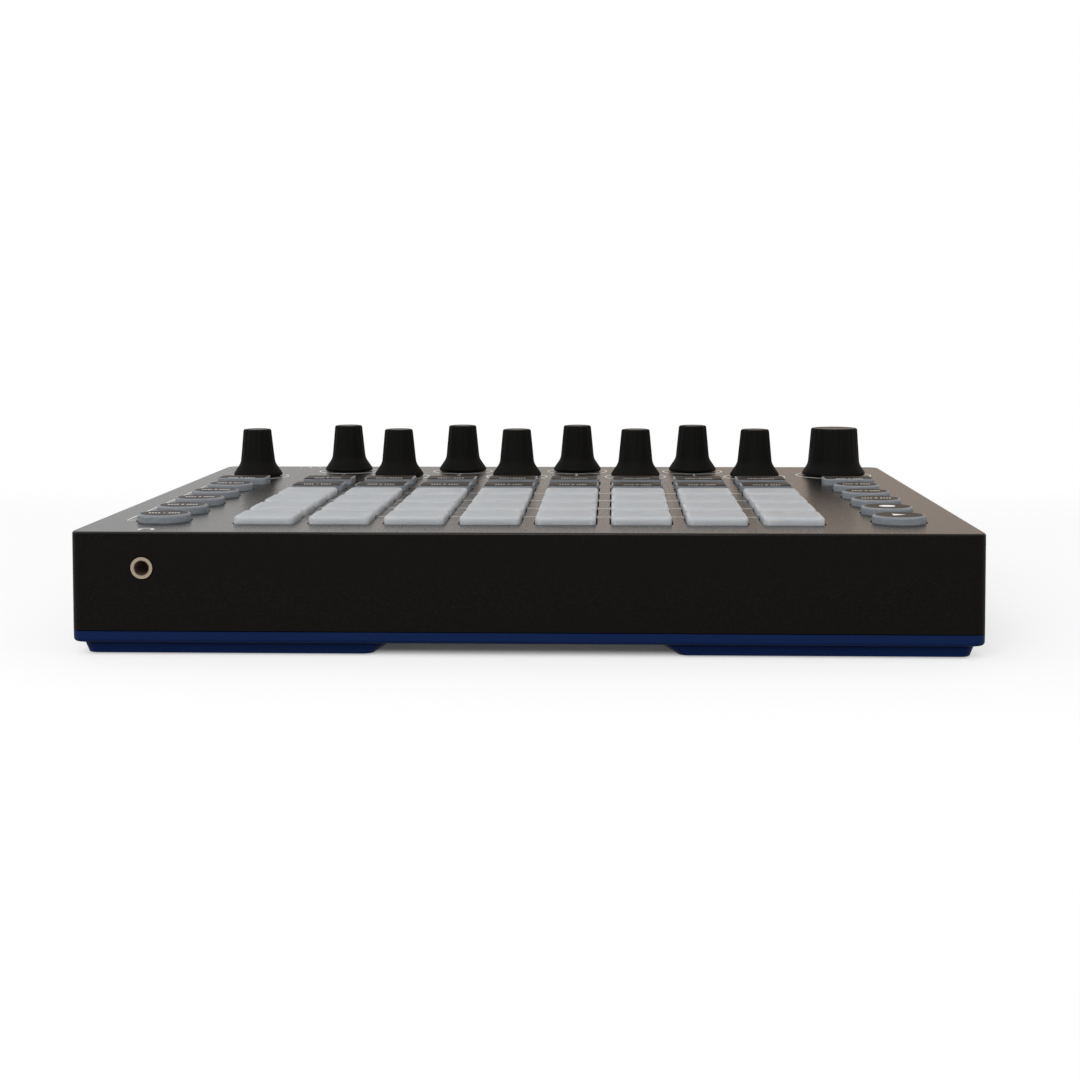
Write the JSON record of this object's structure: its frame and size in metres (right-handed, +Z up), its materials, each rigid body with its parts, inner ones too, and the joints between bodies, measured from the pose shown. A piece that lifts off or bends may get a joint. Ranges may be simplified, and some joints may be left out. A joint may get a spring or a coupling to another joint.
{
  "type": "groovebox",
  "caption": "Flat desktop groovebox: dark case on a blue base, a grid of milky square pads with rows of small keys, round side keys, and fluted knobs behind.",
  "frame": {"origin": "on the table under the centre of the case", "axes": "+X to the player's right, +Y away from the player, +Z up"},
  "size_m": [0.2418, 0.201, 0.05],
  "materials": {
    "dark_plastic": "satin moulded plastic, near black",
    "blue_plastic": "satin moulded plastic, navy blue",
    "foot_rubber": "matt black rubber",
    "steel": "zinc-plated steel",
    "board": "green solder mask",
    "mat_rubber": "translucent grey silicone",
    "control_metal": "bare metal",
    "nickel": "nickel-plated ring",
    "socket_plastic": "black plastic",
    "port_steel": "tin-plated steel",
    "speaker_metal": "black painted steel",
    "cell_jacket": "plain metal jacket",
    "button_plastic": "black plastic",
    "pad_silicone": "milky translucent silicone, matt",
    "key_silicone": "grey translucent silicone with a dark printed top",
    "knob_rubber": "soft black rubber coating"
  },
  "bodies": {
    "chassis": {"top_case": "dark_plastic", "base_tray": "blue_plastic", "rubber_feet": "foot_rubber", "case_screws": "steel", "main_board": "board", "key_mat": "mat_rubber", "rotary_controls": "control_metal", "mini_jacks": "nickel", "line_jacks": "socket_plastic", "rear_ports": "port_steel", "speaker": "speaker_metal", "battery_cells": "cell_jacket"},
    "pad_row1_col1": {"pad_row1_col1": "pad_silicone"},
    "pad_row1_col2": {"pad_row1_col2": "pad_silicone"},
    "pad_row1_col3": {"pad_row1_col3": "pad_silicone"},
    "pad_row1_col4": {"pad_row1_col4": "pad_silicone"},
    "pad_row1_col5": {"pad_row1_col5": "pad_silicone"},
    "pad_row1_col6": {"pad_row1_col6": "pad_silicone"},
    "pad_row1_col7": {"pad_row1_col7": "pad_silicone"},
    "pad_row1_col8": {"pad_row1_col8": "pad_silicone"},
    "pad_row2_col1": {"pad_row2_col1": "pad_silicone"},
    "pad_row2_col2": {"pad_row2_col2": "pad_silicone"},
    "pad_row2_col3": {"pad_row2_col3": "pad_silicone"},
    "pad_row2_col4": {"pad_row2_col4": "pad_silicone"},
    "pad_row2_col5": {"pad_row2_col5": "pad_silicone"},
    "pad_row2_col6": {"pad_row2_col6": "pad_silicone"},
    "pad_row2_col7": {"pad_row2_col7": "pad_silicone"},
    "pad_row2_col8": {"pad_row2_col8": "pad_silicone"},
    "pad_row3_col1": {"pad_row3_col1": "pad_silicone"},
    "pad_row3_col2": {"pad_row3_col2": "pad_silicone"},
    "pad_row3_col3": {"pad_row3_col3": "pad_silicone"},
    "pad_row3_col4": {"pad_row3_col4": "pad_silicone"},
    "pad_row3_col5": {"pad_row3_col5": "pad_silicone"},
    "pad_row3_col6": {"pad_row3_col6": "pad_silicone"},
    "pad_row3_col7": {"pad_row3_col7": "pad_silicone"},
    "pad_row3_col8": {"pad_row3_col8": "pad_silicone"},
    "pad_row4_col1": {"pad_row4_col1": "pad_silicone"},
    "pad_row4_col2": {"pad_row4_col2": "pad_silicone"},
    "pad_row4_col3": {"pad_row4_col3": "pad_silicone"},
    "pad_row4_col4": {"pad_row4_col4": "pad_silicone"},
    "pad_row4_col5": {"pad_row4_col5": "pad_silicone"},
    "pad_row4_col6": {"pad_row4_col6": "pad_silicone"},
    "pad_row4_col7": {"pad_row4_col7": "pad_silicone"},
    "pad_row4_col8": {"pad_row4_col8": "pad_silicone"},
    "function_keys_front": {"function_keys_front": "key_silicone"},
    "function_keys_rear": {"function_keys_rear": "key_silicone"},
    "left_keys": {"left_keys": "key_silicone"},
    "right_keys": {"right_keys": "key_silicone"},
    "macro_knob_1": {"macro_knob_1": "knob_rubber"},
    "macro_knob_2": {"macro_knob_2": "knob_rubber"},
    "macro_knob_3": {"macro_knob_3": "knob_rubber"},
    "macro_knob_4": {"macro_knob_4": "knob_rubber"},
    "macro_knob_5": {"macro_knob_5": "knob_rubber"},
    "macro_knob_6": {"macro_knob_6": "knob_rubber"},
    "macro_knob_7": {"macro_knob_7": "knob_rubber"},
    "macro_knob_8": {"macro_knob_8": "knob_rubber"},
    "volume_knob": {"volume_knob": "knob_rubber"},
    "filter_knob": {"filter_knob": "knob_rubber"},
    "power_button": {"power_button": "button_plastic"},
    "battery_door": {"battery_door": "blue_plastic"}
  },
  "joints": [
    {"name": "battery_door_swing", "type": "hinge", "parent": "chassis", "child": "battery_door", "pos_m": [0, 0.06765, 0.004], "axis": [1, 0, 0], "range_deg": [0, 75]},
    {"name": "power_button_press", "type": "slide", "parent": "chassis", "child": "power_button", "axis": [0, -1, 0], "range_m": [0, 0.0015], "stiffness_N_per_m": 600, "springref_m": -0.0005},
    {"name": "macro_knob_1_turn", "type": "hinge", "parent": "chassis", "child": "macro_knob_1", "pos_m": [-0.07235, 0.0807, 0.0337], "axis": [0, 0, -1], "continuous": true},
    {"name": "macro_knob_2_turn", "type": "hinge", "parent": "chassis", "child": "macro_knob_2", "pos_m": [-0.05167, 0.06, 0.0337], "axis": [0, 0, -1], "continuous": true},
    {"name": "macro_knob_3_turn", "type": "hinge", "parent": "chassis", "child": "macro_knob_3", "pos_m": [-0.03101, 0.0807, 0.0337], "axis": [0, 0, -1], "continuous": true},
    {"name": "macro_knob_4_turn", "type": "hinge", "parent": "chassis", "child": "macro_knob_4", "pos_m": [-0.01034, 0.06, 0.0337], "axis": [0, 0, -1], "continuous": true},
    {"name": "macro_knob_5_turn", "type": "hinge", "parent": "chassis", "child": "macro_knob_5", "pos_m": [0.01034, 0.0807, 0.0337], "axis": [0, 0, -1], "continuous": true},
    {"name": "macro_knob_6_turn", "type": "hinge", "parent": "chassis", "child": "macro_knob_6", "pos_m": [0.03101, 0.06, 0.0337], "axis": [0, 0, -1], "continuous": true},
    {"name": "macro_knob_7_turn", "type": "hinge", "parent": "chassis", "child": "macro_knob_7", "pos_m": [0.05167, 0.0807, 0.0337], "axis": [0, 0, -1], "continuous": true},
    {"name": "macro_knob_8_turn", "type": "hinge", "parent": "chassis", "child": "macro_knob_8", "pos_m": [0.07235, 0.06, 0.0337], "axis": [0, 0, -1], "continuous": true},
    {"name": "volume_knob_turn", "type": "hinge", "parent": "chassis", "child": "volume_knob", "pos_m": [-0.1015, 0.06, 0.0337], "axis": [0, 0, -1], "range_deg": [-150, 150]},
    {"name": "filter_knob_turn", "type": "hinge", "parent": "chassis", "child": "filter_knob", "pos_m": [0.1005, 0.067, 0.0337], "axis": [0, 0, -1], "range_deg": [-150, 150]},
    {"name": "function_keys_front_press", "type": "slide", "parent": "chassis", "child": "function_keys_front", "axis": [0, 0, -1], "range_m": [0, 0.0012], "stiffness_N_per_m": 1600, "springref_m": -0.0005},
    {"name": "function_keys_rear_press", "type": "slide", "parent": "chassis", "child": "function_keys_rear", "axis": [0, 0, -1], "range_m": [0, 0.0012], "stiffness_N_per_m": 1600, "springref_m": -0.0005},
    {"name": "left_keys_press", "type": "slide", "parent": "chassis", "child": "left_keys", "axis": [0, 0, -1], "range_m": [0, 0.0012], "stiffness_N_per_m": 1600, "springref_m": -0.0005},
    {"name": "right_keys_press", "type": "slide", "parent": "chassis", "child": "right_keys", "axis": [0, 0, -1], "range_m": [0, 0.0012], "stiffness_N_per_m": 1600, "springref_m": -0.0005},
    {"name": "pad_row1_col1_press", "type": "slide", "parent": "chassis", "child": "pad_row1_col1", "axis": [0, 0, -1], "range_m": [0, 0.0012], "stiffness_N_per_m": 400, "springref_m": -0.0005},
    {"name": "pad_row1_col2_press", "type": "slide", "parent": "chassis", "child": "pad_row1_col2", "axis": [0, 0, -1], "range_m": [0, 0.0012], "stiffness_N_per_m": 400, "springref_m": -0.0005},
    {"name": "pad_row1_col3_press", "type": "slide", "parent": "chassis", "child": "pad_row1_col3", "axis": [0, 0, -1], "range_m": [0, 0.0012], "stiffness_N_per_m": 400, "springref_m": -0.0005},
    {"name": "pad_row1_col4_press", "type": "slide", "parent": "chassis", "child": "pad_row1_col4", "axis": [0, 0, -1], "range_m": [0, 0.0012], "stiffness_N_per_m": 400, "springref_m": -0.0005},
    {"name": "pad_row1_col5_press", "type": "slide", "parent": "chassis", "child": "pad_row1_col5", "axis": [0, 0, -1], "range_m": [0, 0.0012], "stiffness_N_per_m": 400, "springref_m": -0.0005},
    {"name": "pad_row1_col6_press", "type": "slide", "parent": "chassis", "child": "pad_row1_col6", "axis": [0, 0, -1], "range_m": [0, 0.0012], "stiffness_N_per_m": 400, "springref_m": -0.0005},
    {"name": "pad_row1_col7_press", "type": "slide", "parent": "chassis", "child": "pad_row1_col7", "axis": [0, 0, -1], "range_m": [0, 0.0012], "stiffness_N_per_m": 400, "springref_m": -0.0005},
    {"name": "pad_row1_col8_press", "type": "slide", "parent": "chassis", "child": "pad_row1_col8", "axis": [0, 0, -1], "range_m": [0, 0.0012], "stiffness_N_per_m": 400, "springref_m": -0.0005},
    {"name": "pad_row2_col1_press", "type": "slide", "parent": "chassis", "child": "pad_row2_col1", "axis": [0, 0, -1], "range_m": [0, 0.0012], "stiffness_N_per_m": 400, "springref_m": -0.0005},
    {"name": "pad_row2_col2_press", "type": "slide", "parent": "chassis", "child": "pad_row2_col2", "axis": [0, 0, -1], "range_m": [0, 0.0012], "stiffness_N_per_m": 400, "springref_m": -0.0005},
    {"name": "pad_row2_col3_press", "type": "slide", "parent": "chassis", "child": "pad_row2_col3", "axis": [0, 0, -1], "range_m": [0, 0.0012], "stiffness_N_per_m": 400, "springref_m": -0.0005},
    {"name": "pad_row2_col4_press", "type": "slide", "parent": "chassis", "child": "pad_row2_col4", "axis": [0, 0, -1], "range_m": [0, 0.0012], "stiffness_N_per_m": 400, "springref_m": -0.0005},
    {"name": "pad_row2_col5_press", "type": "slide", "parent": "chassis", "child": "pad_row2_col5", "axis": [0, 0, -1], "range_m": [0, 0.0012], "stiffness_N_per_m": 400, "springref_m": -0.0005},
    {"name": "pad_row2_col6_press", "type": "slide", "parent": "chassis", "child": "pad_row2_col6", "axis": [0, 0, -1], "range_m": [0, 0.0012], "stiffness_N_per_m": 400, "springref_m": -0.0005},
    {"name": "pad_row2_col7_press", "type": "slide", "parent": "chassis", "child": "pad_row2_col7", "axis": [0, 0, -1], "range_m": [0, 0.0012], "stiffness_N_per_m": 400, "springref_m": -0.0005},
    {"name": "pad_row2_col8_press", "type": "slide", "parent": "chassis", "child": "pad_row2_col8", "axis": [0, 0, -1], "range_m": [0, 0.0012], "stiffness_N_per_m": 400, "springref_m": -0.0005},
    {"name": "pad_row3_col1_press", "type": "slide", "parent": "chassis", "child": "pad_row3_col1", "axis": [0, 0, -1], "range_m": [0, 0.0012], "stiffness_N_per_m": 400, "springref_m": -0.0005},
    {"name": "pad_row3_col2_press", "type": "slide", "parent": "chassis", "child": "pad_row3_col2", "axis": [0, 0, -1], "range_m": [0, 0.0012], "stiffness_N_per_m": 400, "springref_m": -0.0005},
    {"name": "pad_row3_col3_press", "type": "slide", "parent": "chassis", "child": "pad_row3_col3", "axis": [0, 0, -1], "range_m": [0, 0.0012], "stiffness_N_per_m": 400, "springref_m": -0.0005},
    {"name": "pad_row3_col4_press", "type": "slide", "parent": "chassis", "child": "pad_row3_col4", "axis": [0, 0, -1], "range_m": [0, 0.0012], "stiffness_N_per_m": 400, "springref_m": -0.0005},
    {"name": "pad_row3_col5_press", "type": "slide", "parent": "chassis", "child": "pad_row3_col5", "axis": [0, 0, -1], "range_m": [0, 0.0012], "stiffness_N_per_m": 400, "springref_m": -0.0005},
    {"name": "pad_row3_col6_press", "type": "slide", "parent": "chassis", "child": "pad_row3_col6", "axis": [0, 0, -1], "range_m": [0, 0.0012], "stiffness_N_per_m": 400, "springref_m": -0.0005},
    {"name": "pad_row3_col7_press", "type": "slide", "parent": "chassis", "child": "pad_row3_col7", "axis": [0, 0, -1], "range_m": [0, 0.0012], "stiffness_N_per_m": 400, "springref_m": -0.0005},
    {"name": "pad_row3_col8_press", "type": "slide", "parent": "chassis", "child": "pad_row3_col8", "axis": [0, 0, -1], "range_m": [0, 0.0012], "stiffness_N_per_m": 400, "springref_m": -0.0005},
    {"name": "pad_row4_col1_press", "type": "slide", "parent": "chassis", "child": "pad_row4_col1", "axis": [0, 0, -1], "range_m": [0, 0.0012], "stiffness_N_per_m": 400, "springref_m": -0.0005},
    {"name": "pad_row4_col2_press", "type": "slide", "parent": "chassis", "child": "pad_row4_col2", "axis": [0, 0, -1], "range_m": [0, 0.0012], "stiffness_N_per_m": 400, "springref_m": -0.0005},
    {"name": "pad_row4_col3_press", "type": "slide", "parent": "chassis", "child": "pad_row4_col3", "axis": [0, 0, -1], "range_m": [0, 0.0012], "stiffness_N_per_m": 400, "springref_m": -0.0005},
    {"name": "pad_row4_col4_press", "type": "slide", "parent": "chassis", "child": "pad_row4_col4", "axis": [0, 0, -1], "range_m": [0, 0.0012], "stiffness_N_per_m": 400, "springref_m": -0.0005},
    {"name": "pad_row4_col5_press", "type": "slide", "parent": "chassis", "child": "pad_row4_col5", "axis": [0, 0, -1], "range_m": [0, 0.0012], "stiffness_N_per_m": 400, "springref_m": -0.0005},
    {"name": "pad_row4_col6_press", "type": "slide", "parent": "chassis", "child": "pad_row4_col6", "axis": [0, 0, -1], "range_m": [0, 0.0012], "stiffness_N_per_m": 400, "springref_m": -0.0005},
    {"name": "pad_row4_col7_press", "type": "slide", "parent": "chassis", "child": "pad_row4_col7", "axis": [0, 0, -1], "range_m": [0, 0.0012], "stiffness_N_per_m": 400, "springref_m": -0.0005},
    {"name": "pad_row4_col8_press", "type": "slide", "parent": "chassis", "child": "pad_row4_col8", "axis": [0, 0, -1], "range_m": [0, 0.0012], "stiffness_N_per_m": 400, "springref_m": -0.0005}
  ]
}
